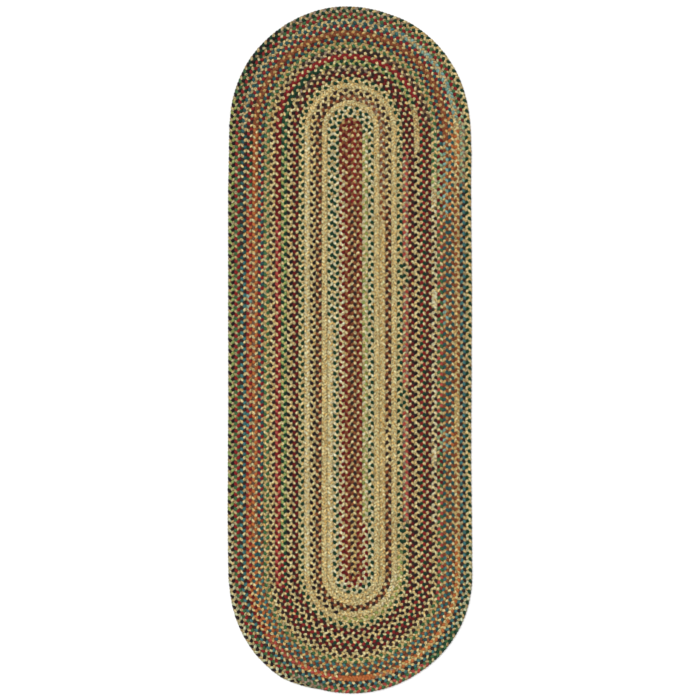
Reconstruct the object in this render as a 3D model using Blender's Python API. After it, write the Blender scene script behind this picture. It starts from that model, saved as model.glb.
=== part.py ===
"""Long oval braided rug, lying flat.

A flat braid is wound outwards from the middle, each turn laced to the edge of the turn before,
so the rug is one body: ribs, one for each row of braid, with a groove on both faces between rows.

Frame: metres, +Z up, +Y along the rug towards its head end, origin under the middle of its outline.
The braid starts at the foot end of the middle, runs up the right side of the middle, round the head,
down the left side and round the foot, and each turn lies outside the turn before.
"""

import math

import bmesh
import bpy

# Driving dimensions, in metres and radians.
ROW_WIDTH = 0.0145  # the braid from edge to edge
TURNS = 21  # turns of braid round the middle
CORE_LENGTH = 1.110  # between the centres of the round head and the round foot
THICKNESS = 0.010  # the braid lying flat
GROOVE_DEPTH = 0.003  # from a rib's crest down to the lacing, on each face
CREST_SHARE = 0.45  # share of a row's width that its flat crest takes
FLARE = 0.006  # the foot is wider than the middle by this share, and the head narrower
TAIL_ANGLE = math.radians(64)  # how far round the foot the last turn reaches
TAIL_LENGTH = 0.060  # over this length the last turn narrows to nothing
TAIL_SHAPE = (  # along the tail: share of its length, share of the row's width that is left
    (0.0, 1.0),
    (0.55, 0.75),
    (1.0, 0.0),
)
ARC_STEPS = 16  # steps round the head
STEPS_TO_TAIL = 5  # steps round the foot before the last turn's tail
STEPS_FROM_TAIL = 3  # steps on from its end to the foot's lowest point
MERGE_DISTANCE = 1e-6

COLOUR = (0.33, 0.22, 0.14, 1.0)  # the tan, brown, green and red strands together
ROUGHNESS = 0.95

# Sizes worked out from these.
OUTER_RADIUS = (TURNS + 0.5) * ROW_WIDTH  # outer edge of the last turn, about the foot's centre
TAIL_START = TAIL_ANGLE - TAIL_LENGTH / OUTER_RADIUS
TOP_EDGE = CORE_LENGTH / 2 + TURNS * ROW_WIDTH
BOTTOM_EDGE = -CORE_LENGTH / 2 - (TURNS - 0.5) * ROW_WIDTH
MIDDLE = (TOP_EDGE + BOTTOM_EDGE) / 2
HALF_LENGTH = (TOP_EDGE - BOTTOM_EDGE) / 2
HEAD_CENTRE = (0.0, CORE_LENGTH / 2)
FOOT_CENTRE = (ROW_WIDTH / 2, -CORE_LENGTH / 2)  # half a row over, which is what winds the braid outwards
GROOVE_HEIGHT = THICKNESS - GROOVE_DEPTH


def evenly(first, last, steps):
    """Angles from first to last in equal steps, both ends included."""
    return [first + (last - first) * step / steps for step in range(steps + 1)]


def head_angles():
    """Angles round the head's centre, from the right side over the top to the left side."""
    return evenly(0.0, math.pi, ARC_STEPS)


def foot_angles():
    """Angles round the foot's centre, from the left side round to the right, with a step at each tail point."""
    tail = [TAIL_START + share * (TAIL_ANGLE - TAIL_START) for share, _ in TAIL_SHAPE]
    before = evenly(0.0, tail[0], STEPS_TO_TAIL)[:-1]
    after = evenly(tail[-1], math.pi / 2, STEPS_FROM_TAIL)[1:]
    last = evenly(math.pi / 2, math.pi, ARC_STEPS // 2)[1:]
    return [math.pi + angle for angle in before + tail + after + last]


def widths_at_foot():
    """Share of the row's width that the last turn has at each of the foot's angles, down to its tail's end."""
    return [1.0] * STEPS_TO_TAIL + [width for _, width in TAIL_SHAPE]


def at(centre, radius, angle, height):
    """The point at this radius and angle about a centre."""
    return (
        centre[0] + radius * math.cos(angle),
        centre[1] + radius * math.sin(angle),
        height,
    )


def row_points(bm, centre, inner_radius, angle, width=1.0):
    """Points across a row on the upper face: inner groove, the crest's two edges, outer groove."""
    slope = (1.0 - CREST_SHARE) / 2
    crest = GROOVE_HEIGHT + GROOVE_DEPTH * width
    across = (
        (0.0, GROOVE_HEIGHT),
        (slope, crest),
        (1.0 - slope, crest),
        (1.0, GROOVE_HEIGHT),
    )
    return [
        bm.verts.new(at(centre, inner_radius + share * width * ROW_WIDTH, angle, height))
        for share, height in across
    ]


def wound_rows(bm):
    """The points across the row at each place along the wound braid, from the middle outwards."""
    rows = [row_points(bm, FOOT_CENTRE, -ROW_WIDTH / 2, 0.0)]
    for turn in range(TURNS):
        for angle in head_angles():
            rows.append(row_points(bm, HEAD_CENTRE, turn * ROW_WIDTH, angle))
        last = turn == TURNS - 1
        widths = widths_at_foot() if last else [1.0] * len(foot_angles())
        for angle, width in zip(foot_angles(), widths):
            rows.append(row_points(bm, FOOT_CENTRE, (turn + 0.5) * ROW_WIDTH, angle, width))
    return rows


def add_ribs(bm):
    """The upper face of every row: a slope, the crest and a slope between one place and the next."""
    rows = wound_rows(bm)
    for here, there in zip(rows, rows[1:]):
        for side in range(len(here) - 1):
            bm.faces.new((here[side], here[side + 1], there[side + 1], there[side]))


def add_start(bm):
    """The rounded beginning of the braid, a half disc at the foot end of the middle."""
    crest_radius = ROW_WIDTH * CREST_SHARE / 2
    crest = [bm.verts.new(at(FOOT_CENTRE, crest_radius, angle, THICKNESS)) for angle in foot_angles()]
    groove = [bm.verts.new(at(FOOT_CENTRE, ROW_WIDTH / 2, angle, GROOVE_HEIGHT)) for angle in foot_angles()]
    bm.faces.new(crest)
    for step in range(len(crest) - 1):
        bm.faces.new((crest[step], groove[step], groove[step + 1], crest[step + 1]))


def add_underside(bm):
    """The lower face, the upper one's mirror image, joined to it by an upright rim along the outline."""
    copy = bmesh.ops.duplicate(bm, geom=bm.verts[:] + bm.edges[:] + bm.faces[:])["geom"]
    for vert in copy:
        if isinstance(vert, bmesh.types.BMVert):
            vert.co.z = THICKNESS - vert.co.z
    bmesh.ops.reverse_faces(bm, faces=[face for face in copy if isinstance(face, bmesh.types.BMFace)])
    outline = [edge for edge in bm.edges if edge.is_boundary]
    bmesh.ops.bridge_loops(bm, edges=outline)


def flare_and_centre(bm):
    """Widens the rug evenly from head to foot, and brings the middle of its outline over the origin."""
    for vert in bm.verts:
        vert.co.y -= MIDDLE
        vert.co.x *= 1.0 - FLARE * vert.co.y / HALF_LENGTH


def rug_material():
    """Dull wool-like fabric in the strands' average colour."""
    material = bpy.data.materials.new("braid_fabric")
    material.use_nodes = True
    shader = material.node_tree.nodes["Principled BSDF"]
    shader.inputs["Base Color"].default_value = COLOUR
    shader.inputs["Roughness"].default_value = ROUGHNESS
    shader.inputs["Metallic"].default_value = 0.0
    return material


def build_rug():
    """The whole rug as one closed body."""
    bm = bmesh.new()
    add_ribs(bm)
    add_start(bm)
    bmesh.ops.remove_doubles(bm, verts=bm.verts[:], dist=MERGE_DISTANCE)
    add_underside(bm)
    flare_and_centre(bm)
    bmesh.ops.recalc_face_normals(bm, faces=bm.faces[:])
    mesh = bpy.data.meshes.new("braided_rug")
    bm.to_mesh(mesh)
    bm.free()
    mesh.materials.append(rug_material())
    rug = bpy.data.objects.new("braided_rug", mesh)
    bpy.context.scene.collection.objects.link(rug)
    return rug


def main():
    for thing in list(bpy.data.objects):
        bpy.data.objects.remove(thing, do_unlink=True)
    build_rug()


main()
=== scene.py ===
"""The looks of a long oval braided rug, lying flat on a pale floor and seen from straight above.

One flat braid of three strands is wound outwards from the middle of the rug, 21 turns in all, and each
turn lies against the one before. Every strand is a knitted sleeve of heathered yarn, and here and there
a new length of another yarn is joined on. All sizes are in metres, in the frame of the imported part:
+Z up, +Y along the rug towards its head, the origin under the middle of its outline.
"""

import logging
import math
from dataclasses import dataclass
from enum import Enum

import bpy
import numpy as np
from numpy.typing import NDArray
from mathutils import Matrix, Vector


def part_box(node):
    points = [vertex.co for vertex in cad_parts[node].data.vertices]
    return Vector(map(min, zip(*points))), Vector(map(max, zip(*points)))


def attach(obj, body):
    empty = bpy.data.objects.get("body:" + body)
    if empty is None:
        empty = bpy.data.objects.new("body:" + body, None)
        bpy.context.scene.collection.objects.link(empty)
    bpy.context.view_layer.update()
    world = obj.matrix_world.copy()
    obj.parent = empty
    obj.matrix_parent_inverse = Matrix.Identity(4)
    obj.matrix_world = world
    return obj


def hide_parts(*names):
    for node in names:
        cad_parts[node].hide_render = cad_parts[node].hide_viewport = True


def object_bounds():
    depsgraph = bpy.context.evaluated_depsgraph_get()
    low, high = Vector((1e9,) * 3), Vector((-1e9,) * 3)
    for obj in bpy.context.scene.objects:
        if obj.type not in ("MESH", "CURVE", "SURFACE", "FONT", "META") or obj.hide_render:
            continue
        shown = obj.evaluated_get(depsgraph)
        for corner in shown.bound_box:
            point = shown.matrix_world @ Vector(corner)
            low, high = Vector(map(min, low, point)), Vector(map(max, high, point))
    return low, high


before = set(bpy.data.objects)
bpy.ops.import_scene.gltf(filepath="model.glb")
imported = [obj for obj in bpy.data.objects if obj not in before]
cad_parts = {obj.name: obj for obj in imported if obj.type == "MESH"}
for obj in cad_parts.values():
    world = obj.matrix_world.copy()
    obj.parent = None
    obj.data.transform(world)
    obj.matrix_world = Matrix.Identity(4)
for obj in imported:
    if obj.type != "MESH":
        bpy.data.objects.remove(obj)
CAD_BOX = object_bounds()

Array = NDArray[np.float64]
Whole = NDArray[np.int64]

SOLID = "braided_rug"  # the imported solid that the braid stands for
BODY = "root"
STRAND_MAP = "strand"  # UV map: metres along the braid, and the strand's number plus the share round it
BAKE_MAP = "OFBake"  # UV map for baking: the strands as strips that fill the unit square
SHADED_YARN_ATTRIBUTE = "yarn"  # the yarn's colour with painted shade between the strands, and how heathered it is as alpha

BRIGHTEST = 255  # a yarn's red, green or blue at its fullest

log = logging.getLogger("braided_rug")


class Stretch(Enum):
    """The four stretches of a turn, in the order in which the braid runs through them."""

    RIGHT = 0
    HEAD = 1
    LEFT = 2
    FOOT = 3


class Strand(Enum):
    """The three strands of the braid. Each lies a third of a plait behind the one before."""

    FIRST = 0
    SECOND = 1
    THIRD = 2


class Yarn(Enum):
    """The yarns, each as red, green and blue from 0 to 255, and how heathered it is, from 0 to 1."""

    CREAM = (220, 210, 170, 0.8)
    TAN = (215, 195, 140, 1.0)
    STRAW = (190, 170, 125, 1.0)
    OCHRE = (200, 170, 110, 0.9)
    TAUPE = (150, 130, 110, 0.9)
    UMBER = (120, 90, 70, 0.7)
    DARK_BROWN = (60, 45, 40, 0.5)
    BLACK_BROWN = (40, 30, 30, 0.4)
    RUST = (140, 80, 50, 0.6)
    ORANGE = (190, 110, 60, 0.5)
    CORAL = (180, 80, 70, 0.6)
    RED = (140, 40, 40, 0.4)
    DARK_RED = (110, 30, 30, 0.4)
    DARK_GREEN = (30, 65, 45, 0.4)
    GREEN = (70, 110, 70, 0.5)
    OLIVE = (150, 160, 90, 0.7)
    LIME = (150, 170, 100, 0.7)
    PALE_LIME = (200, 200, 160, 0.8)
    MINT = (150, 180, 140, 0.7)
    DARK_TEAL = (50, 90, 90, 0.4)
    TEAL = (70, 120, 120, 0.5)
    PALE_TEAL = (130, 170, 160, 0.7)

    def tint(self) -> tuple[float, ...]:
        """The colour as linear red, green and blue, and how heathered the yarn is."""
        *colour, heather = self.value
        return (*(linear(part / BRIGHTEST) for part in colour), heather)


@dataclass(frozen=True)
class Swerve:
    """A place where the outermost row lies outside the plain oval, or inside it."""

    stretch: Stretch
    share: float  # of that stretch
    reach: float  # outwards


def linear(share: float) -> float:
    """A linear colour share from an sRGB one.

    Args:
        share: the sRGB share, from 0 to 1.

    Returns:
        The linear share: share / 12.92 up to 0.04045, and ((share + 0.055) / 1.055) ^ 2.4 above it.
    """
    if share <= 0.04045:
        return share / 12.92
    return ((share + 0.055) / 1.055) ** 2.4


@dataclass(frozen=True)
class Join:
    """A place where a strand's next length of yarn is joined on."""

    turn: int  # counted from 0 in the middle
    stretch: Stretch
    share: float  # of that stretch
    yarn: Yarn


RIGHT, HEAD, LEFT, FOOT = Stretch

# How unevenly the rug is wound, once round its outermost row.
SWERVES = (
    Swerve(RIGHT, 0.05, -0.0020),
    Swerve(RIGHT, 0.27, -0.0040),
    Swerve(RIGHT, 0.62, -0.0010),
    Swerve(RIGHT, 0.82, -0.0025),
    Swerve(RIGHT, 0.88, -0.0030),
    Swerve(RIGHT, 0.95, -0.0013),
    Swerve(HEAD, 0.01, -0.0042),
    Swerve(HEAD, 0.05, -0.0056),
    Swerve(HEAD, 0.33, -0.0005),
    Swerve(HEAD, 0.40, -0.0020),
    Swerve(HEAD, 0.55, 0.0030),
    Swerve(HEAD, 0.80, 0.0030),
    Swerve(HEAD, 0.97, -0.0030),
    Swerve(LEFT, 0.15, 0.0000),
    Swerve(LEFT, 0.62, -0.0015),
    Swerve(LEFT, 0.88, -0.0005),
    Swerve(FOOT, 0.04, -0.0035),
    Swerve(FOOT, 0.20, 0.0030),
    Swerve(FOOT, 0.42, 0.0025),
    Swerve(FOOT, 0.68, -0.0025),
    Swerve(FOOT, 0.85, -0.0005),
)

# Where each strand changes its yarn, from the start of the braid to its tail.
JOINS: dict[Strand, tuple[Join, ...]] = {
    Strand.FIRST: (
        Join(0, RIGHT, 0.00, Yarn.DARK_BROWN),
        Join(0, RIGHT, 0.83, Yarn.RED),
        Join(0, HEAD, 0.00, Yarn.DARK_RED),
        Join(2, RIGHT, 0.12, Yarn.OLIVE),
        Join(2, RIGHT, 0.99, Yarn.DARK_GREEN),
        Join(3, LEFT, 0.43, Yarn.TAN),
        Join(4, HEAD, 0.75, Yarn.STRAW),
        Join(4, LEFT, 0.00, Yarn.TAN),
        Join(5, RIGHT, 0.00, Yarn.OCHRE),
        Join(5, RIGHT, 0.40, Yarn.TAN),
        Join(5, RIGHT, 0.50, Yarn.OCHRE),
        Join(5, RIGHT, 0.79, Yarn.STRAW),
        Join(5, RIGHT, 0.86, Yarn.TAUPE),
        Join(5, HEAD, 0.44, Yarn.UMBER),
        Join(5, HEAD, 0.60, Yarn.DARK_BROWN),
        Join(6, LEFT, 0.10, Yarn.BLACK_BROWN),
        Join(6, FOOT, 0.40, Yarn.TAN),
        Join(7, FOOT, 0.00, Yarn.STRAW),
        Join(7, FOOT, 0.40, Yarn.TAN),
        Join(9, RIGHT, 0.10, Yarn.TAUPE),
        Join(9, RIGHT, 0.36, Yarn.STRAW),
        Join(9, RIGHT, 0.44, Yarn.TAUPE),
        Join(9, RIGHT, 0.645, Yarn.STRAW),
        Join(9, RIGHT, 0.715, Yarn.TAUPE),
        Join(9, RIGHT, 0.93, Yarn.DARK_BROWN),
        Join(10, HEAD, 0.74, Yarn.TAUPE),
        Join(10, HEAD, 0.84, Yarn.TAN),
        Join(11, HEAD, 0.12, Yarn.OLIVE),
        Join(11, HEAD, 0.65, Yarn.DARK_GREEN),
        Join(12, HEAD, 0.05, Yarn.DARK_BROWN),
        Join(12, HEAD, 0.14, Yarn.RED),
        Join(12, HEAD, 0.78, Yarn.DARK_RED),
        Join(13, HEAD, 0.03, Yarn.UMBER),
        Join(13, HEAD, 0.35, Yarn.DARK_BROWN),
        Join(14, RIGHT, 0.25, Yarn.CREAM),
        Join(14, RIGHT, 0.28, Yarn.DARK_BROWN),
        Join(14, RIGHT, 0.60, Yarn.CREAM),
        Join(14, RIGHT, 0.635, Yarn.DARK_BROWN),
        Join(14, RIGHT, 0.825, Yarn.STRAW),
        Join(14, RIGHT, 0.865, Yarn.LIME),
        Join(14, RIGHT, 0.90, Yarn.GREEN),
        Join(15, RIGHT, 0.28, Yarn.MINT),
        Join(15, RIGHT, 0.33, Yarn.GREEN),
        Join(15, RIGHT, 0.84, Yarn.MINT),
        Join(15, RIGHT, 0.96, Yarn.DARK_TEAL),
        Join(15, FOOT, 0.00, Yarn.TEAL),
        Join(16, RIGHT, 0.05, Yarn.DARK_TEAL),
        Join(16, RIGHT, 0.27, Yarn.PALE_TEAL),
        Join(16, RIGHT, 0.33, Yarn.DARK_TEAL),
        Join(16, RIGHT, 0.56, Yarn.PALE_TEAL),
        Join(16, RIGHT, 0.62, Yarn.DARK_TEAL),
        Join(16, RIGHT, 0.80, Yarn.PALE_TEAL),
        Join(16, RIGHT, 0.97, Yarn.RUST),
        Join(16, LEFT, 0.00, Yarn.ORANGE),
        Join(16, FOOT, 0.23, Yarn.RUST),
        Join(17, RIGHT, 0.28, Yarn.ORANGE),
        Join(17, RIGHT, 0.33, Yarn.RUST),
        Join(17, RIGHT, 0.80, Yarn.ORANGE),
        Join(17, HEAD, 0.05, Yarn.RED),
        Join(17, FOOT, 0.00, Yarn.DARK_RED),
        Join(17, FOOT, 0.20, Yarn.CORAL),
        Join(17, FOOT, 0.46, Yarn.ORANGE),
        Join(17, FOOT, 0.56, Yarn.TAUPE),
        Join(17, FOOT, 0.65, Yarn.TAN),
        Join(18, HEAD, 0.03, Yarn.PALE_TEAL),
        Join(18, HEAD, 0.14, Yarn.STRAW),
        Join(18, LEFT, 0.00, Yarn.TAN),
        Join(19, RIGHT, 0.05, Yarn.STRAW),
        Join(19, FOOT, 0.33, Yarn.TAUPE),
        Join(19, FOOT, 0.42, Yarn.STRAW),
        Join(20, RIGHT, 0.00, Yarn.TAN),
        Join(20, HEAD, 0.46, Yarn.STRAW),
    ),
    Strand.SECOND: (
        Join(0, RIGHT, 0.00, Yarn.OCHRE),
        Join(0, RIGHT, 0.15, Yarn.RUST),
        Join(1, LEFT, 0.10, Yarn.CREAM),
        Join(1, LEFT, 0.60, Yarn.TAN),
        Join(1, LEFT, 0.71, Yarn.CREAM),
        Join(3, FOOT, 0.00, Yarn.TAN),
        Join(6, FOOT, 0.70, Yarn.CREAM),
        Join(7, RIGHT, 0.00, Yarn.TAN),
        Join(7, LEFT, 0.00, Yarn.CREAM),
        Join(7, FOOT, 0.00, Yarn.TAN),
        Join(7, FOOT, 0.40, Yarn.OLIVE),
        Join(8, RIGHT, 0.05, Yarn.DARK_GREEN),
        Join(9, RIGHT, 0.12, Yarn.CORAL),
        Join(9, RIGHT, 0.365, Yarn.DARK_GREEN),
        Join(9, RIGHT, 0.42, Yarn.CORAL),
        Join(9, RIGHT, 0.645, Yarn.DARK_GREEN),
        Join(9, RIGHT, 0.70, Yarn.CORAL),
        Join(9, RIGHT, 0.96, Yarn.DARK_RED),
        Join(10, HEAD, 0.40, Yarn.TAUPE),
        Join(10, HEAD, 0.58, Yarn.UMBER),
        Join(10, HEAD, 0.72, Yarn.DARK_BROWN),
        Join(10, HEAD, 0.86, Yarn.BLACK_BROWN),
        Join(11, RIGHT, 0.95, Yarn.STRAW),
        Join(11, HEAD, 0.10, Yarn.DARK_GREEN),
        Join(11, HEAD, 0.90, Yarn.GREEN),
        Join(11, LEFT, 0.05, Yarn.LIME),
        Join(11, LEFT, 0.95, Yarn.RED),
        Join(12, LEFT, 0.00, Yarn.DARK_RED),
        Join(12, LEFT, 0.20, Yarn.CORAL),
        Join(12, LEFT, 0.43, Yarn.RED),
        Join(12, LEFT, 0.48, Yarn.CORAL),
        Join(12, LEFT, 0.71, Yarn.RED),
        Join(12, LEFT, 0.75, Yarn.CORAL),
        Join(12, FOOT, 0.06, Yarn.DARK_BROWN),
        Join(13, HEAD, 0.47, Yarn.TAUPE),
        Join(13, HEAD, 0.72, Yarn.STRAW),
        Join(13, HEAD, 0.86, Yarn.OCHRE),
        Join(13, LEFT, 0.00, Yarn.TAN),
        Join(14, RIGHT, 0.10, Yarn.CREAM),
        Join(14, RIGHT, 0.90, Yarn.TAN),
        Join(14, HEAD, 0.00, Yarn.STRAW),
        Join(14, LEFT, 0.38, Yarn.TAN),
        Join(14, LEFT, 0.85, Yarn.STRAW),
        Join(14, FOOT, 0.40, Yarn.TAN),
        Join(15, HEAD, 0.00, Yarn.OCHRE),
        Join(15, LEFT, 0.00, Yarn.TAN),
        Join(15, FOOT, 0.00, Yarn.OCHRE),
        Join(16, LEFT, 0.00, Yarn.TAN),
        Join(17, LEFT, 0.10, Yarn.STRAW),
        Join(17, FOOT, 0.00, Yarn.TAN),
        Join(17, FOOT, 0.46, Yarn.ORANGE),
        Join(18, RIGHT, 0.08, Yarn.RUST),
        Join(18, RIGHT, 0.33, Yarn.OCHRE),
        Join(18, RIGHT, 0.40, Yarn.RUST),
        Join(18, RIGHT, 0.92, Yarn.ORANGE),
        Join(18, HEAD, 0.00, Yarn.STRAW),
        Join(18, HEAD, 0.23, Yarn.PALE_TEAL),
        Join(18, HEAD, 0.33, Yarn.TEAL),
        Join(18, HEAD, 0.40, Yarn.DARK_TEAL),
        Join(18, LEFT, 0.30, Yarn.TEAL),
        Join(19, RIGHT, 0.885, Yarn.MINT),
        Join(19, HEAD, 0.05, Yarn.GREEN),
        Join(19, HEAD, 0.70, Yarn.DARK_GREEN),
        Join(19, LEFT, 0.00, Yarn.GREEN),
        Join(19, FOOT, 0.85, Yarn.PALE_LIME),
        Join(20, RIGHT, 0.08, Yarn.TAN),
        Join(20, RIGHT, 0.36, Yarn.STRAW),
        Join(20, RIGHT, 0.50, Yarn.TAN),
        Join(20, RIGHT, 0.83, Yarn.OCHRE),
        Join(20, HEAD, 0.00, Yarn.TAN),
        Join(20, HEAD, 0.28, Yarn.STRAW),
        Join(20, HEAD, 0.34, Yarn.TAUPE),
        Join(20, HEAD, 0.70, Yarn.BLACK_BROWN),
    ),
    Strand.THIRD: (
        Join(0, RIGHT, 0.00, Yarn.TAN),
        Join(1, HEAD, 0.00, Yarn.OCHRE),
        Join(1, LEFT, 0.00, Yarn.TAN),
        Join(5, RIGHT, 0.79, Yarn.RUST),
        Join(6, RIGHT, 0.25, Yarn.TAN),
        Join(6, RIGHT, 0.35, Yarn.RUST),
        Join(6, RIGHT, 0.83, Yarn.TAN),
        Join(11, HEAD, 0.00, Yarn.OCHRE),
        Join(11, HEAD, 0.10, Yarn.TAN),
        Join(14, HEAD, 0.00, Yarn.OCHRE),
        Join(14, FOOT, 0.90, Yarn.CORAL),
        Join(15, RIGHT, 0.20, Yarn.DARK_RED),
        Join(15, RIGHT, 0.36, Yarn.CORAL),
        Join(15, RIGHT, 0.57, Yarn.DARK_RED),
        Join(15, RIGHT, 0.63, Yarn.CORAL),
        Join(15, RIGHT, 0.82, Yarn.DARK_RED),
        Join(15, LEFT, 0.10, Yarn.RED),
        Join(15, LEFT, 0.88, Yarn.RUST),
        Join(16, LEFT, 0.20, Yarn.UMBER),
        Join(16, LEFT, 0.92, Yarn.DARK_TEAL),
        Join(17, HEAD, 0.90, Yarn.DARK_BROWN),
        Join(17, LEFT, 0.02, Yarn.DARK_GREEN),
        Join(17, LEFT, 0.10, Yarn.GREEN),
        Join(17, LEFT, 0.13, Yarn.MINT),
        Join(17, LEFT, 0.18, Yarn.ORANGE),
        Join(17, LEFT, 0.37, Yarn.PALE_TEAL),
        Join(17, LEFT, 0.41, Yarn.ORANGE),
        Join(17, LEFT, 0.615, Yarn.TEAL),
        Join(17, LEFT, 0.69, Yarn.OLIVE),
        Join(17, LEFT, 0.745, Yarn.ORANGE),
        Join(17, FOOT, 0.22, Yarn.RUST),
        Join(17, FOOT, 0.33, Yarn.ORANGE),
        Join(17, FOOT, 0.56, Yarn.OCHRE),
        Join(18, RIGHT, 0.86, Yarn.TAN),
        Join(18, HEAD, 0.10, Yarn.PALE_TEAL),
        Join(18, HEAD, 0.25, Yarn.STRAW),
        Join(18, HEAD, 0.50, Yarn.TAN),
        Join(18, HEAD, 0.77, Yarn.STRAW),
        Join(18, LEFT, 0.00, Yarn.DARK_BROWN),
        Join(19, RIGHT, 0.87, Yarn.UMBER),
        Join(19, RIGHT, 0.93, Yarn.TAUPE),
        Join(19, HEAD, 0.02, Yarn.DARK_RED),
        Join(19, HEAD, 0.10, Yarn.RED),
        Join(19, FOOT, 0.33, Yarn.TAUPE),
        Join(19, FOOT, 0.42, Yarn.CORAL),
        Join(19, FOOT, 0.72, Yarn.DARK_GREEN),
        Join(20, HEAD, 0.83, Yarn.GREEN),
        Join(20, HEAD, 0.92, Yarn.OLIVE),
        Join(20, LEFT, 0.03, Yarn.LIME),
        Join(20, LEFT, 0.87, Yarn.PALE_LIME),
    ),
}


@dataclass(frozen=True)
class Unevenness:
    """A smooth uneven course along the braid, the same at every run."""

    spacing: float  # from one knot to the next
    reach: float  # the largest value either way
    seed: int  # picks the draw

    def course(self, distance: Array, strand: int = 0) -> Array:
        """The course's value at each distance.

        One value is drawn for each knot, evenly from -reach to reach, and between two knots the course
        goes from one value to the next by t * t * (3 - 2 * t), where t is the share of the way.

        Args:
            distance: distances along the braid.
            strand: the strand's number, where each strand has a draw of its own.

        Returns:
            The values.
        """
        at = distance / self.spacing + 1.0
        knot = np.floor(at).astype(int)
        t = at - knot
        draw = np.random.default_rng(self.seed + strand)
        values = draw.uniform(-self.reach, self.reach, int(at.max()) + 3)
        return values[knot] + (values[knot + 1] - values[knot]) * t * t * (3.0 - 2.0 * t)


@dataclass(frozen=True)
class Spiral:
    """The line along which the braid is wound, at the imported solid's sizes but for a longer tail."""

    row_width: float = 0.0145
    turns: int = 21
    core_length: float = 1.110  # between the centres of the round head and the round foot
    flare: float = 0.006  # the foot is wider than the middle by this share, and the head narrower
    shift: float = 0.0016  # how far the middle rows lie to the right
    tail_angle: float = math.radians(74)  # how far round the foot the last turn reaches

    def head_radius(self, turn: Array) -> Array:
        """The radius round the head, half a row more than the rows inside it."""
        return (turn + 0.5) * self.row_width

    def foot_radius(self, turn: Array) -> Array:
        """The radius round the foot, half a row more than round the head, which winds the braid outwards."""
        return (turn + 1.0) * self.row_width

    def stretch_ends(self) -> Array:
        """Distances at which the stretches end.

        A turn is two straight runs of the core's length, a half circle of the head radius and a half
        circle of the foot radius. The last half circle stops at the tail's angle.

        Returns:
            Row for each turn, column for each stretch: the distance along the braid at its end.
        """
        turn = np.arange(self.turns, dtype=float)
        straight = np.full(self.turns, self.core_length)
        foot = math.pi * self.foot_radius(turn)
        foot[-1] *= self.tail_angle / math.pi
        lengths = np.stack([straight, math.pi * self.head_radius(turn), straight, foot], axis=1)
        return np.cumsum(lengths).reshape(self.turns, len(Stretch))

    def stretch_starts(self) -> Array:
        """Distances at which the stretches start, laid out as their ends are."""
        ends = self.stretch_ends().ravel()
        return np.concatenate([[0.0], ends[:-1]]).reshape(self.turns, len(Stretch))

    def place_of(self, join: Join) -> float:
        """The distance along the braid of a join.

        Args:
            join: the join. Its share of the last foot is a share of the whole half circle.

        Returns:
            The distance from the first straight run's start.
        """
        start = self.stretch_starts()[join.turn, join.stretch.value]
        end = self.stretch_ends()[join.turn, join.stretch.value]
        if join.turn == self.turns - 1 and join.stretch is Stretch.FOOT:
            end = start + math.pi * float(self.foot_radius(np.array(join.turn)))
        return float(start + join.share * (end - start))

    def swerve(self, turn: Array, stretch: Whole, share: Array) -> Array:
        """How far the line lies outside the plain oval.

        Along the outermost row it goes evenly from each swerve to the next. On the rows within, that is
        multiplied by the square of the share of the turns that are wound by then.

        Args:
            turn: the turn.
            stretch: the stretch of that turn, as its number.
            share: how far along the stretch.

        Returns:
            The distance outwards at each place.
        """
        places = [swerve.stretch.value + swerve.share for swerve in SWERVES]
        reaches = [swerve.reach for swerve in SWERVES]
        outermost = np.interp(stretch + share, places, reaches, period=float(len(Stretch)))
        return outermost * ((turn + (stretch + share) / len(Stretch)) / self.turns) ** 2

    def line(self, distance: Array, offset: Array) -> Array:
        """Points beside the wound line, in plan.

        On the right x is the head radius and y rises from the foot's centre to the head's; round the head
        the point turns about the head's centre, from 0 to a half turn; on the left y falls again; round
        the foot it turns about the foot's centre, half a row to the right, from a half turn to a whole
        one. The offset and the swerve are added to x or to the radius. Then the outline is centred and
        flared as the solid is, x times 1 - flare * y / half length, and the rows within it lie a little
        to the right, by shift * (1 - (x / half width) ^ 6), with the half width a quarter row wider than
        the rug's. The head reaches half a row further out than the foot, so the middle lies a quarter row
        up.

        Args:
            distance: distances along the braid.
            offset: how far outwards from the line each point lies.

        Returns:
            Column x and column y.
        """
        starts = self.stretch_starts()
        place = np.searchsorted(starts.ravel(), distance, side="right") - 1
        place = np.clip(place, 0, starts.size - 1)
        turn = (place // len(Stretch)).astype(float)
        stretch = place % len(Stretch)
        gone = distance - starts.ravel()[place]
        half_core = self.core_length / 2
        head, foot = self.head_radius(turn), self.foot_radius(turn)
        at_head, at_foot = gone / head, math.pi + gone / foot
        here = [stretch == part.value for part in Stretch]
        straight = gone / self.core_length
        share = np.select(here, [straight, at_head / math.pi, straight, at_foot / math.pi - 1.0])
        offset = offset + self.swerve(turn, stretch, share)
        x = np.select(here, [
            head + offset,
            (head + offset) * np.cos(at_head),
            -head - offset,
            self.row_width / 2 + (foot + offset) * np.cos(at_foot),
        ])
        y = np.select(here, [
            gone - half_core,
            half_core + (head + offset) * np.sin(at_head),
            half_core - gone,
            (foot + offset) * np.sin(at_foot) - half_core,
        ])
        y = y - self.row_width / 4
        half_length = half_core + (self.turns - 0.25) * self.row_width
        half_width = (self.turns + 0.25) * self.row_width
        x = x * (1.0 - self.flare * y / half_length)
        x = x + self.shift * (1.0 - (x / half_width) ** 6)
        return np.stack([x, y], axis=1)


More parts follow.
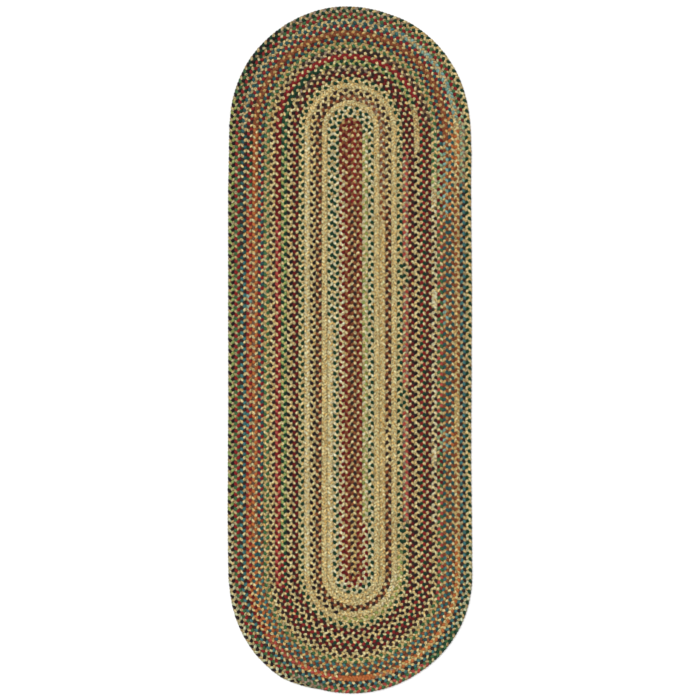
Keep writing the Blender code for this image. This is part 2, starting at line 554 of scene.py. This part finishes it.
@dataclass(frozen=True)
class Plait:
    """How the three strands cross in the braid, and the strands' own size."""

    spiral: Spiral
    thickness: float
    pitch: float = 0.0266  # along the braid, until a strand is back where it was
    swing: float = 0.0045  # from the middle of the row to the middle of a strand at its edge
    late: float = 0.35  # radians of its rise and fall by which a strand comes up late, past its turning back
    half_width: float = 0.0044  # of a strand
    half_height: float = 0.0027
    kept_height: float = 0.92  # share of it that a strand keeps where it is pressed flat
    tightness: Unevenness = Unevenness(0.160, 0.004, 11)  # how far the plaiting runs ahead
    sway: Unevenness = Unevenness(0.055, 0.00025, 23)  # of a strand, sideways
    rise: Unevenness = Unevenness(0.021, 0.00020, 31)  # of a strand, up or down
    start: float = -0.0062  # where the braid begins, a little before the first straight run
    start_length: float = 0.009  # over this length the beginning is rounded
    start_share: float = 0.25  # of full size, at the very beginning
    tail_length: float = 0.100
    tail_points: tuple[float, ...] = (0.0, 0.50, 1.0)  # shares of the tail's length
    tail_widths: tuple[float, ...] = (1.0, 0.55, 0.06)  # share of the row's width there

    def lift(self) -> float:
        """How far a strand rises and dips from the middle of the braid's thickness."""
        return self.thickness / 2 - self.kept_height * self.half_height

    def end(self) -> float:
        """The length of the whole braid."""
        return float(self.spiral.stretch_ends()[-1, -1])

    def phase(self, distance: Array) -> Array:
        """How far the plaiting has come, a whole turn for each pitch, now a little tight and now slack."""
        return (distance + self.tightness.course(distance)) * 2 * math.pi / self.pitch

    def width_share(self, distance: Array) -> Array:
        """The share of the row's width that is left, rounded at the start and narrowing over the tail.

        With b the share of the start's length, from 0 to 1, the start's share rises from start_share to 1
        by the square root of b * (2 - b). Over the tail it goes evenly from point to point.

        Args:
            distance: distances along the braid.

        Returns:
            The share at each distance.
        """
        begun = np.clip((distance - self.start) / self.start_length, 0.0, 1.0)
        start = self.start_share + (1.0 - self.start_share) * np.sqrt(begun * (2.0 - begun))
        along_tail = 1.0 - (self.end() - distance) / self.tail_length
        return start * np.interp(along_tail, self.tail_points, self.tail_widths)

    def middle(self, strand: Strand, distance: Array, plump: Array | float = 1.0) -> Array:
        """The middle line of a strand.

        With p the plaiting's phase plus a third of a turn for each strand before this one, the strand
        lies swing * sin(p) outwards from the row's middle and lift * sin(2 * p - late) below the middle of
        the thickness. So it comes in over the others from either edge, past the middle, and goes out
        under them. A fuller strand swings less, so that it keeps to the row's edges. A slow unevenness is
        added to both.

        Args:
            strand: which strand.
            distance: distances along the braid.
            plump: how full the strand is there.

        Returns:
            Columns x, y and z.
        """
        p = self.phase(distance) + strand.value * 2 * math.pi / len(Strand)
        share = self.width_share(distance)
        narrowed = np.where(distance > self.end() / 2, (share - 1.0) * self.spiral.row_width / 2, 0.0)
        sway = self.sway.course(distance, strand.value)
        rise = self.rise.course(distance, strand.value)
        swing = self.swing + (1.0 - plump) * self.half_width
        outwards = narrowed + share * (swing * np.sin(p) + sway)
        height = self.thickness / 2 - share * (self.lift() * np.sin(2 * p - self.late) + rise)
        return np.column_stack([self.spiral.line(distance, outwards), height])


@dataclass(frozen=True)
class StrandTube:
    """One strand of one turn as a closed tube."""

    plait: Plait
    strand: Strand
    start: float
    end: float
    sides: int = 6
    ring_angles: tuple[float, ...] = (0.0, 48.0, 78.0, 102.0, 132.0)  # closest where the strand turns back
    nearest: float = 0.12  # radians of phase from an end within which a ring is left out
    probe: float = 1e-5  # for directions along the strand
    steps: int = 40  # for each half pitch, to look up where a phase lies
    fullness: Unevenness = Unevenness(0.0085, 0.07, 41)  # added to the strand's plumpness

    def distances(self) -> Array:
        """Where the tube's rings lie: at its two ends, and at the ring angles of each half pitch between.

        Returns:
            Distances along the braid, in rising order.
        """
        own = self.strand.value * 2 * math.pi / len(Strand)
        first, last = self.plait.phase(np.array([self.start, self.end])) + own
        halves = np.arange(math.floor(first / math.pi), math.ceil(last / math.pi))
        phases = (halves[:, None] * math.pi + np.radians(self.ring_angles)).ravel()
        phases = phases[(phases > first + self.nearest) & (phases < last - self.nearest)]
        fine = np.linspace(self.start, self.end, self.steps * len(halves))
        inner = np.interp(phases - own, self.plait.phase(fine), fine)
        return np.concatenate([[self.start], inner, [self.end]])

    def rings(self, distance: Array, plump: Array) -> Array:
        """The tube's points.

        Round a ring, with angle q, the point is the middle plus half_width * cos(q) sideways and
        half_height * sin(q) along the normal, where sideways is level and square to the strand, and the
        normal is square to both. The strand is now fuller and now slimmer. What would reach below the
        floor is pressed flat on it, and the upper side is pressed flat at the braid's thickness.

        Args:
            distance: the rings' places along the braid.
            plump: how full the yarn makes the strand there.

        Returns:
            An array of rings, of points round each ring, of x, y and z.
        """
        middle = self.plait.middle(self.strand, distance, plump)
        ahead = self.plait.middle(self.strand, distance + self.probe, plump)
        along = ahead - middle
        along /= np.linalg.norm(along, axis=1, keepdims=True)
        sideways = np.stack([along[:, 1], -along[:, 0], np.zeros(len(along))], axis=1)
        sideways /= np.linalg.norm(sideways, axis=1, keepdims=True)
        normal = np.cross(sideways, along)
        fullness = plump + self.fullness.course(distance, self.strand.value)
        share = self.plait.width_share(distance)
        wide = (self.plait.half_width * share * fullness)[:, None, None]
        high = (self.plait.half_height * np.sqrt(share) * fullness)[:, None, None]
        q = np.arange(self.sides) * 2 * math.pi / self.sides
        q = q[None, :, None]
        points = middle[:, None] + wide * np.cos(q) * sideways[:, None] + high * np.sin(q) * normal[:, None]
        points[..., 2] = np.clip(points[..., 2], 0.0, self.plait.thickness)
        return points


@dataclass(frozen=True)
class YarnCourse:
    """The yarn of each strand along the braid."""

    spiral: Spiral
    overlap: float = 0.010  # over this length the old yarn gives way to the new
    crevice_shade: float = 0.70  # painted shade: the colour's share deep between the strands
    crest_light: float = 1.06  # painted light: the colour's share at the faces, on top and underneath
    plumpness: float = 0.28  # how much fuller a plainly dyed yarn makes the strand than a heathered one
    usual_heather: float = 0.75  # the heather of a yarn that makes a strand of the usual size

    def tints(self, strand: Strand, distance: Array) -> Array:
        """The yarn's colour and heather along a strand.

        They hold from one join to the next, and change evenly over the overlap.

        Args:
            strand: which strand.
            distance: places along the braid.

        Returns:
            Columns red, green, blue and heather.
        """
        joins = JOINS[strand]
        places = np.array([self.spiral.place_of(join) for join in joins])
        tints = np.array([join.yarn.tint() for join in joins])
        knots = np.concatenate([[0.0], np.repeat(places[1:], 2)])
        knots[1::2] -= self.overlap / 2
        knots[2::2] += self.overlap / 2
        held = np.concatenate([np.repeat(tints[:-1], 2, axis=0), tints[-1:]])
        return np.stack([np.interp(distance, knots, held[:, band]) for band in range(held.shape[1])], axis=1)

    def plump(self, strand: Strand, distance: Array) -> Array:
        """How full the yarn makes the strand, 1 for the usual heather and more for a plainer yarn."""
        return 1.0 + self.plumpness * (self.usual_heather - self.tints(strand, distance)[:, 3])

    def colours(self, strand: Strand, distance: Array, height_share: Array) -> Array:
        """The strand's colour, ring by ring and point by point.

        The yarn's tint is multiplied by painted shade. This is a share that rises with the point's height
        share, from darkest deep between the strands to a slight painted light at the faces.

        Args:
            strand: which strand.
            distance: the rings' places along the braid.
            height_share: for each point, 0 at half the braid's thickness and 1 at either face.

        Returns:
            An array of rings, of points round each ring, of red, green, blue and heather.
        """
        # painted shade deep between the strands, rising to a slight painted light at the faces
        shade = self.crevice_shade + (self.crest_light - self.crevice_shade) * height_share
        colours = np.repeat(self.tints(strand, distance)[:, None], height_share.shape[1], axis=1)
        colours[..., :3] *= shade[..., None]
        return colours


@dataclass(frozen=True)
class StripLayout:
    """Lays a turn's strands out as strips, row above row, so that they fill the unit square."""

    rows: int = 9  # for each strand
    gap: float = 0.05  # above and below a strip, as a share of a row
    margin: float = 0.004  # left and right

    def corners(self, strand: Strand, quads: int, sides: int) -> Array:
        """The map's corners for a strand's faces.

        A strand's lengths are cut into equal rows. Along a row u goes from margin to 1 - margin, and
        round the strand v goes from the row's lower gap to its upper one.

        Args:
            strand: which strand.
            quads: how many faces the strand has along its length.
            sides: how many it has round it.

        Returns:
            An array of lengths, of sides, of four corners, of u and v.
        """
        in_row = math.ceil(quads / self.rows)
        along = np.arange(quads)
        row = along // in_row + strand.value * self.rows
        left = (along % in_row) / in_row
        right = left + 1 / in_row
        low = np.arange(sides) / sides
        high = low + 1 / sides
        u = np.stack([left, right, right, left], axis=1)[:, None]
        v = np.stack([low, low, high, high], axis=1)[None]
        u = np.broadcast_to(self.margin + (1 - 2 * self.margin) * u, (quads, sides, 4))
        v = (row[:, None, None] + self.gap + (1 - 2 * self.gap) * v) / (self.rows * len(Strand))
        return np.stack([u, np.broadcast_to(v, (quads, sides, 4))], axis=-1)


class Wiring:
    """Adds and links the nodes of a material."""

    def __init__(self, name: str) -> None:
        """Makes an empty material.

        Args:
            name: the material's name.
        """
        self.material = bpy.data.materials.new(name)
        self.material.use_nodes = True
        self.tree = self.material.node_tree
        self.shader = self.tree.nodes["Principled BSDF"]

    def add(self, kind: str, **settings: object) -> bpy.types.Node:
        """Adds a node.

        Args:
            kind: the node's type, without its leading ShaderNode.
            settings: the node's own settings by name.

        Returns:
            The new node.
        """
        node = self.tree.nodes.new("ShaderNode" + kind)
        for name, value in settings.items():
            setattr(node, name, value)
        return node

    def put(self, socket: bpy.types.NodeSocket, value: object) -> None:
        """Links an output to a socket, or sets the socket to a number, colour or vector.

        Args:
            socket: the input that is fed.
            value: an output socket, or what the input is set to.
        """
        if isinstance(value, bpy.types.NodeSocket):
            self.tree.links.new(value, socket)
        else:
            socket.default_value = value

    def math(self, operation: str, *values: object) -> bpy.types.NodeSocket:
        """A Math node's result.

        Args:
            operation: the node's operation.
            values: its inputs, as numbers or outputs.

        Returns:
            Its output.
        """
        node = self.add("Math", operation=operation)
        for socket, value in zip(node.inputs, values):
            self.put(socket, value)
        return node.outputs[0]

    def vector(self, *parts: object) -> bpy.types.NodeSocket:
        """A vector.

        Args:
            parts: up to three numbers or outputs.

        Returns:
            Its output.
        """
        node = self.add("CombineXYZ")
        for socket, value in zip(node.inputs, parts):
            self.put(socket, value)
        return node.outputs[0]

    def noise(self, place: bpy.types.NodeSocket, scale: float, detail: float) -> bpy.types.NodeSocket:
        """A noise texture's value, about 0.5 on average.

        Args:
            place: where it is read.
            scale: how fine it is.
            detail: how many finer layers it has.

        Returns:
            Its output.
        """
        node = self.add("TexNoise", noise_dimensions="2D")
        self.put(node.inputs["Vector"], place)
        self.put(node.inputs["Scale"], scale)
        self.put(node.inputs["Detail"], detail)
        return node.outputs["Fac"]

    def ramp(
        self, value: bpy.types.NodeSocket, tones: tuple[tuple[float, tuple[float, float, float]], ...]
    ) -> bpy.types.NodeSocket:
        """Colours picked by a value.

        Args:
            value: what picks them.
            tones: values in rising order, each with its colour.

        Returns:
            The colour's output.
        """
        node = self.add("ValToRGB")
        points = node.color_ramp.elements
        while len(points) < len(tones):
            points.new(0.5)
        for point, (position, colour) in zip(points, tones):
            point.position = position
            point.color = (*colour, 1.0)
        self.put(node.inputs[0], value)
        return node.outputs["Color"]

    def blend(self, share: object, colour: object, factor: object) -> bpy.types.NodeSocket:
        """A colour that is multiplied by another one, as far as the share says.

        Args:
            share: from 0, the colour as it is, to 1, the whole product.
            colour: the colour.
            factor: what it is multiplied by.

        Returns:
            The colour's output.
        """
        node = self.add("Mix", data_type="RGBA", blend_type="MULTIPLY")
        sockets = (node.inputs[0], node.inputs[6], node.inputs[7])  # the factor and the two colours
        for socket, value in zip(sockets, (share, colour, factor)):
            self.put(socket, value)
        return node.outputs[2]  # the colour


@dataclass(frozen=True)
class HeatherKnit:
    """The finish of the strands: a small knitted sleeve of heathered yarn.

    Fourteen legs of stitches lie side by side round the strand and lean left and right by turns, so that
    each pair makes a column of stitches.
    """

    legs: int = 14  # round a strand
    drift: float = 30.0  # legs that the columns move sideways in a metre
    stitch: float = 0.0024  # along the strand, from one stitch to the next
    lean: float = 0.8  # of a stitch, across a leg
    dip: float = 0.35  # half the share of its height that a leg loses between two stitches
    seam_shade: float = 0.55  # painted shade: the colour's share between the stitches
    fleck_length: float = 0.0042
    fleck_width: float = 1.9  # in legs
    fleck_share: float = 0.6  # of the tone that the flecks give
    stitch_share: float = 0.4  # of the tone that each stitch's own draw gives
    hue_scale: float = 0.8  # how fine the hue's noise is, against the flecks'
    hue_shift: float = 57.3  # flecks along, so that the hue's noise isn't the tone's
    fibre_stretch: float = 900.0  # by which metres along become the fibres' own lengths
    fibre_scale: float = 1.6
    fibre_relief: float = 0.35  # of a stitch's height
    light_flecks: tuple[tuple[float, tuple[float, float, float]], ...] = (
        (0.26, (0.42, 0.33, 0.24)),
        (0.44, (0.86, 0.82, 0.76)),
        (0.55, (1.06, 1.07, 1.08)),
        (0.72, (1.60, 1.72, 1.95)),
    )
    ochre_flecks: tuple[tuple[float, tuple[float, float, float]], ...] = (
        (0.30, (1.12, 0.92, 0.62)),
        (0.46, (1.02, 1.00, 0.96)),
        (0.60, (1.00, 1.02, 1.06)),
        (0.74, (0.90, 1.04, 1.02)),
    )
    depth: float = 0.0005
    relief: float = 0.7
    roughness: float = 0.92
    sheen: float = 0.05
    sheen_roughness: float = 0.6
    specular: float = 0.10

    def make(self) -> bpy.types.Material:
        """Builds the material, whose colour is darkened between the stitches by painted shade.

        Returns:
            A material that reads the yarn attribute and the strand map.
        """
        w = Wiring("heather_knit")
        place = w.add("SeparateXYZ")
        w.put(place.inputs[0], w.add("UVMap", uv_map=STRAND_MAP).outputs[0])
        along, around = place.outputs["X"], place.outputs["Y"]
        across = w.math("MULTIPLY_ADD", around, self.legs, w.math("MULTIPLY", along, self.drift))
        leg = w.math("FLOOR", across)
        share = w.math("FRACT", across)
        leaning = w.math("MULTIPLY_ADD", w.math("PINGPONG", leg, 1.0), 2 * self.lean, -self.lean)
        row = w.math("MULTIPLY_ADD", leaning, share, w.math("DIVIDE", along, self.stitch))
        height = self.stitch_height(w, share, row)
        flecks = self.flecks(w, along, across, w.vector(leg, w.math("FLOOR", row)))
        # painted shade between the stitches: the colour darkens as the stitches' height falls
        seam_shading = w.math("MULTIPLY_ADD", height, 1.0 - self.seam_shade, self.seam_shade)
        shade = w.vector(seam_shading, seam_shading, seam_shading)
        # the yarn attribute holds the yarn's colour with painted shade between the strands
        yarn = w.add("Attribute", attribute_name=SHADED_YARN_ATTRIBUTE)
        colour = w.blend(yarn.outputs["Alpha"], yarn.outputs["Color"], flecks)
        w.put(w.shader.inputs["Base Color"], w.blend(1.0, colour, shade))
        w.put(w.shader.inputs["Normal"], self.relieved(w, along, across, height))
        w.put(w.shader.inputs["Roughness"], self.roughness)
        w.put(w.shader.inputs["Sheen Weight"], self.sheen)
        w.put(w.shader.inputs["Sheen Roughness"], self.sheen_roughness)
        w.put(w.shader.inputs["Specular IOR Level"], self.specular)
        return w.material

    def stitch_height(
        self, w: Wiring, share: bpy.types.NodeSocket, row: bpy.types.NodeSocket
    ) -> bpy.types.NodeSocket:
        """The stitches' height, from 0 to 1.

        Across a leg it is sin(pi * share), and that is multiplied by 1 - dip + dip * cos of a whole turn
        for each stitch.

        Args:
            w: the material's wiring.
            share: share of the way across the leg.
            row: stitches along the strand.

        Returns:
            The height's output.
        """
        leg_height = w.math("SINE", w.math("MULTIPLY", share, math.pi))
        wave = w.math("COSINE", w.math("MULTIPLY", row, 2 * math.pi))
        return w.math("MULTIPLY", leg_height, w.math("MULTIPLY_ADD", wave, self.dip, 1.0 - self.dip))

    def flecks(
        self,
        w: Wiring,
        along: bpy.types.NodeSocket,
        across: bpy.types.NodeSocket,
        stitch: bpy.types.NodeSocket,
    ) -> bpy.types.NodeSocket:
        """What a heathered yarn's colour is multiplied by.

        A noise about two stitches long and a draw for each stitch, added by their shares, pick a tone from
        brown shadow to cream light. A second noise picks one from ochre to a cooler hue.

        Args:
            w: the material's wiring.
            along: metres along the braid.
            across: legs round the strand.
            stitch: the stitch's own numbers.

        Returns:
            The colour's output.
        """
        step = w.math("DIVIDE", along, self.fleck_length)
        over = w.math("DIVIDE", across, self.fleck_width)
        draw = w.add("TexWhiteNoise", noise_dimensions="2D")
        w.put(draw.inputs["Vector"], stitch)
        tone = w.math("MULTIPLY", draw.outputs["Value"], self.stitch_share)
        tone = w.math("MULTIPLY_ADD", w.noise(w.vector(step, over), 1.0, 1.0), self.fleck_share, tone)
        hue = w.noise(w.vector(w.math("ADD", step, self.hue_shift), over), self.hue_scale, 0.0)
        light = w.ramp(tone, self.light_flecks)
        return w.blend(1.0, light, w.ramp(hue, self.ochre_flecks))

    def relieved(
        self,
        w: Wiring,
        along: bpy.types.NodeSocket,
        across: bpy.types.NodeSocket,
        height: bpy.types.NodeSocket,
    ) -> bpy.types.NodeSocket:
        """The normal on the stitches, with a fine noise of loose fibres.

        Args:
            w: the material's wiring.
            along: metres along the braid.
            across: legs round the strand.
            height: the stitches' height.

        Returns:
            The normal's output.
        """
        place = w.vector(w.math("MULTIPLY", along, self.fibre_stretch), across)
        fibres = w.noise(place, self.fibre_scale, 2.0)
        bump = w.add("Bump")
        w.put(bump.inputs["Strength"], self.relief)
        w.put(bump.inputs["Distance"], self.depth)
        w.put(bump.inputs["Height"], w.math("MULTIPLY_ADD", fibres, self.fibre_relief, height))
        return bump.outputs[0]


@dataclass(frozen=True)
class BraidTurn:
    """One turn of the braid round the rug: its three strands, from the foot of the right side on."""

    plait: Plait
    yarns: YarnCourse
    layout: StripLayout
    number: int
    path_steps: int = 4000  # along a strand, at which declare samples its path, which nothing then uses

    def name(self) -> str:
        """The piece's name, counted from the middle outwards."""
        return f"braid_turn_{self.number + 1:02d}"

    def reach(self) -> tuple[float, float]:
        """Where the turn starts and ends along the braid.

        Returns:
            The two distances. The first turn starts where the braid does.
        """
        starts, ends = self.plait.spiral.stretch_starts(), self.plait.spiral.stretch_ends()
        start = starts[self.number, 0] if self.number else self.plait.start
        return float(start), float(ends[self.number, -1])

    def build(self, finish: bpy.types.Material) -> bpy.types.Object:
        """Builds the turn's mesh and dresses it.

        Args:
            finish: the strands' material.

        Returns:
            The piece, at the origin.
        """
        parts = [self.strand_part(strand) for strand in Strand]
        counts = np.cumsum([0] + [len(part["points"]) for part in parts])
        points = np.concatenate([part["points"] for part in parts])
        walls = np.concatenate([part["walls"] + first for part, first in zip(parts, counts)])
        caps = np.concatenate([part["caps"] + first for part, first in zip(parts, counts)])
        mesh = bpy.data.meshes.new(self.name())
        self.fill(mesh, points, walls, caps)
        self.paint(mesh, np.concatenate([part["colours"] for part in parts]))
        for title, key in ((STRAND_MAP, "strand_map"), (BAKE_MAP, "bake_map")):
            corners = [part[key] for part in parts]
            ends = [part[key + "_caps"] for part in parts]
            self.map_faces(mesh, title, np.concatenate(corners + ends))
        mesh.uv_layers[STRAND_MAP].active_render = True
        mesh.materials.append(finish)
        piece = bpy.data.objects.new(self.name(), mesh)
        bpy.context.scene.collection.objects.link(piece)
        return piece

    def strand_part(self, strand: Strand) -> dict[str, np.ndarray]:
        """One strand's points, faces, colours and map corners.

        Args:
            strand: which strand.

        Returns:
            Arrays by name. Walls are faces of four corners and caps are the two ends' faces.
        """
        start, end = self.reach()
        tube = StrandTube(self.plait, strand, start, end)
        distance = tube.distances()
        rings = tube.rings(distance, self.yarns.plump(strand, distance))
        count, sides = len(distance), tube.sides
        half = self.plait.thickness / 2
        # the yarns' colours with painted shade, darkest midway through the braid's thickness
        colours = self.yarns.colours(strand, distance, np.abs(rings[..., 2] - half) / half)
        ring = np.arange(count - 1)[:, None] * sides
        side = np.arange(sides)[None]
        after = (side + 1) % sides
        walls = np.stack([ring + side, ring + sides + side, ring + sides + after, ring + after], axis=-1)
        caps = np.stack([np.arange(sides), (count - 1) * sides + np.arange(sides)[::-1]])
        u = np.stack([distance[:-1], distance[1:], distance[1:], distance[:-1]], axis=1)[:, None]
        round_it = side.T / sides
        v = strand.value + round_it + np.array([0.0, 0.0, 1.0, 1.0])[None] / sides
        shape = (count - 1, sides, 4)
        strand_map = np.stack([np.broadcast_to(u, shape), np.broadcast_to(v[None], shape)], axis=-1)
        bake_map = self.layout.corners(strand, count - 1, sides)
        return {
            "points": rings.reshape(-1, 3),
            "walls": walls.reshape(-1, 4),
            "caps": caps,
            "colours": colours.reshape(-1, 4),
            "strand_map": strand_map.reshape(-1, 2),
            "strand_map_caps": self.cap_corners(strand_map, sides),
            "bake_map": bake_map.reshape(-1, 2),
            "bake_map_caps": self.cap_corners(bake_map, sides),
        }

    @staticmethod
    def cap_corners(corners: Array, sides: int) -> Array:
        """Map corners of the two end faces, which lie on the edges of the first and last walls.

        Args:
            corners: the walls' corners, as lengths, sides and four corners.
            sides: how many sides the strand has.

        Returns:
            A row for each corner, those of the first end and then those of the last.
        """
        first = corners[0, :, 0]
        last = corners[-1, ::-1, 1]
        return np.concatenate([first[:sides], last[:sides]])

    @staticmethod
    def fill(mesh: bpy.types.Mesh, points: Array, walls: Whole, caps: Whole) -> None:
        """Puts the points and faces into the mesh, the walls smooth and the caps flat.

        Args:
            mesh: the empty mesh.
            points: a row for each point.
            walls: a row for each four-cornered face.
            caps: a row for each end face.
        """
        corners = np.concatenate([walls.ravel(), caps.ravel()])
        sizes = np.concatenate([np.full(len(walls), 4), np.full(len(caps), caps.shape[1])])
        firsts = np.concatenate([[0], np.cumsum(sizes)[:-1]])
        mesh.vertices.add(len(points))
        mesh.loops.add(len(corners))
        mesh.polygons.add(len(sizes))
        mesh.vertices.foreach_set("co", points.ravel())
        mesh.loops.foreach_set("vertex_index", corners)
        mesh.polygons.foreach_set("loop_start", firsts)
        mesh.polygons.foreach_set("use_smooth", np.arange(len(sizes)) < len(walls))
        mesh.update(calc_edges=True)

    @staticmethod
    def paint(mesh: bpy.types.Mesh, colours: Array) -> None:
        """Stores the yarn's colour, with painted shade between the strands, and its heather at each point of
        the mesh.
        """
        attribute = mesh.color_attributes.new(SHADED_YARN_ATTRIBUTE, "FLOAT_COLOR", "POINT")
        attribute.data.foreach_set("color", colours.ravel())

    @staticmethod
    def map_faces(mesh: bpy.types.Mesh, title: str, corners: Array) -> None:
        """Adds a UV map with a row of corners for each corner of the mesh."""
        layer = mesh.uv_layers.new(name=title, do_init=False)
        layer.uv.foreach_set("vector", corners.ravel())

    def declare(self, piece: bpy.types.Object) -> None:
        """Attaches the piece to the root body and hides the imported solid; the first strand's middle line
        along the turn is sampled but not used.

        Args:
            piece: the built turn.
        """
        start, end = self.reach()
        line = self.plait.middle(Strand.FIRST, np.linspace(start, end, self.path_steps))
        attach(piece, BODY)
        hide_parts(SOLID)


@dataclass(frozen=True)
class Studio:
    """A plain pale floor, soft light from all round and above, and a camera looking straight down."""

    floor_side: float = 30.0
    floor_drop: float = 0.0003  # under the rug
    floor_tone: float = 0.95
    floor_roughness: float = 0.9
    sky_tone: float = 1.0
    sky_strength: float = 0.75
    lamp_angle: float = math.radians(45)  # how wide the lamp looks from the floor, which makes it soft
    lamp_tilt: float = math.radians(28)  # from straight above
    lamp_bearing: float = math.radians(40)  # from the rug's head towards its left side
    lamp_strength: float = 1.7
    picture_width: float = 1.747  # of the floor that the picture shows
    lens: float = 100.0
    sensor: float = 36.0

    def build(self) -> bpy.types.Object:
        """Builds the studio.

        Returns:
            The floor.
        """
        self.light()
        self.aim()
        return self.lay_floor()

    def lay_floor(self) -> bpy.types.Object:
        """A level square just under the rug.

        Returns:
            The floor.
        """
        half = self.floor_side / 2
        mesh = bpy.data.meshes.new("floor")
        corners = [(-half, -half, 0.0), (half, -half, 0.0), (half, half, 0.0), (-half, half, 0.0)]
        mesh.from_pydata(corners, [], [(0, 1, 2, 3)])
        wiring = Wiring("pale_floor")
        wiring.put(wiring.shader.inputs["Base Color"], (self.floor_tone,) * 3 + (1.0,))
        wiring.put(wiring.shader.inputs["Roughness"], self.floor_roughness)
        mesh.materials.append(wiring.material)
        floor = bpy.data.objects.new("floor", mesh)
        floor.location.z = -self.floor_drop
        bpy.context.scene.collection.objects.link(floor)
        return floor

    def light(self) -> None:
        """An even pale sky and one soft lamp, wide and far off, above the rug's upper left."""
        world = bpy.data.worlds.new("studio")
        world.use_nodes = True
        background = world.node_tree.nodes["Background"]
        background.inputs["Color"].default_value = (self.sky_tone,) * 3 + (1.0,)
        background.inputs["Strength"].default_value = self.sky_strength
        bpy.context.scene.world = world
        bpy.context.scene.view_settings.view_transform = "Standard"
        data = bpy.data.lights.new("softbox", "SUN")
        data.angle = self.lamp_angle
        data.energy = self.lamp_strength
        lamp = bpy.data.objects.new("softbox", data)
        lamp.rotation_euler = (-self.lamp_tilt, 0.0, self.lamp_bearing)
        bpy.context.scene.collection.objects.link(lamp)

    def aim(self) -> None:
        """The camera, straight above the rug's middle, as far up as its lens needs for the picture."""
        data = bpy.data.cameras.new("camera")
        data.lens = self.lens
        data.sensor_width = self.sensor
        camera = bpy.data.objects.new("camera", data)
        top = CAD_BOX[1].z
        camera.location = (0.0, 0.0, top + self.picture_width * self.lens / self.sensor)
        bpy.context.scene.collection.objects.link(camera)
        bpy.context.scene.camera = camera


def main() -> None:
    """Builds the studio and every turn of the rug, and reports each piece."""
    logging.basicConfig(level=logging.INFO, format="%(name)s: %(message)s")
    floor = Studio().build()
    spiral = Spiral()
    low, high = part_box(SOLID)
    plait = Plait(spiral, thickness=high.z - low.z)
    yarns = YarnCourse(spiral)
    finish = HeatherKnit().make()
    for number in range(spiral.turns):
        turn = BraidTurn(plait, yarns, StripLayout(), number)
        piece = turn.build(finish)
        turn.declare(piece)
        log.info("%s: %d faces", piece.name, len(piece.data.polygons))


if __name__ == "__main__":
    main()
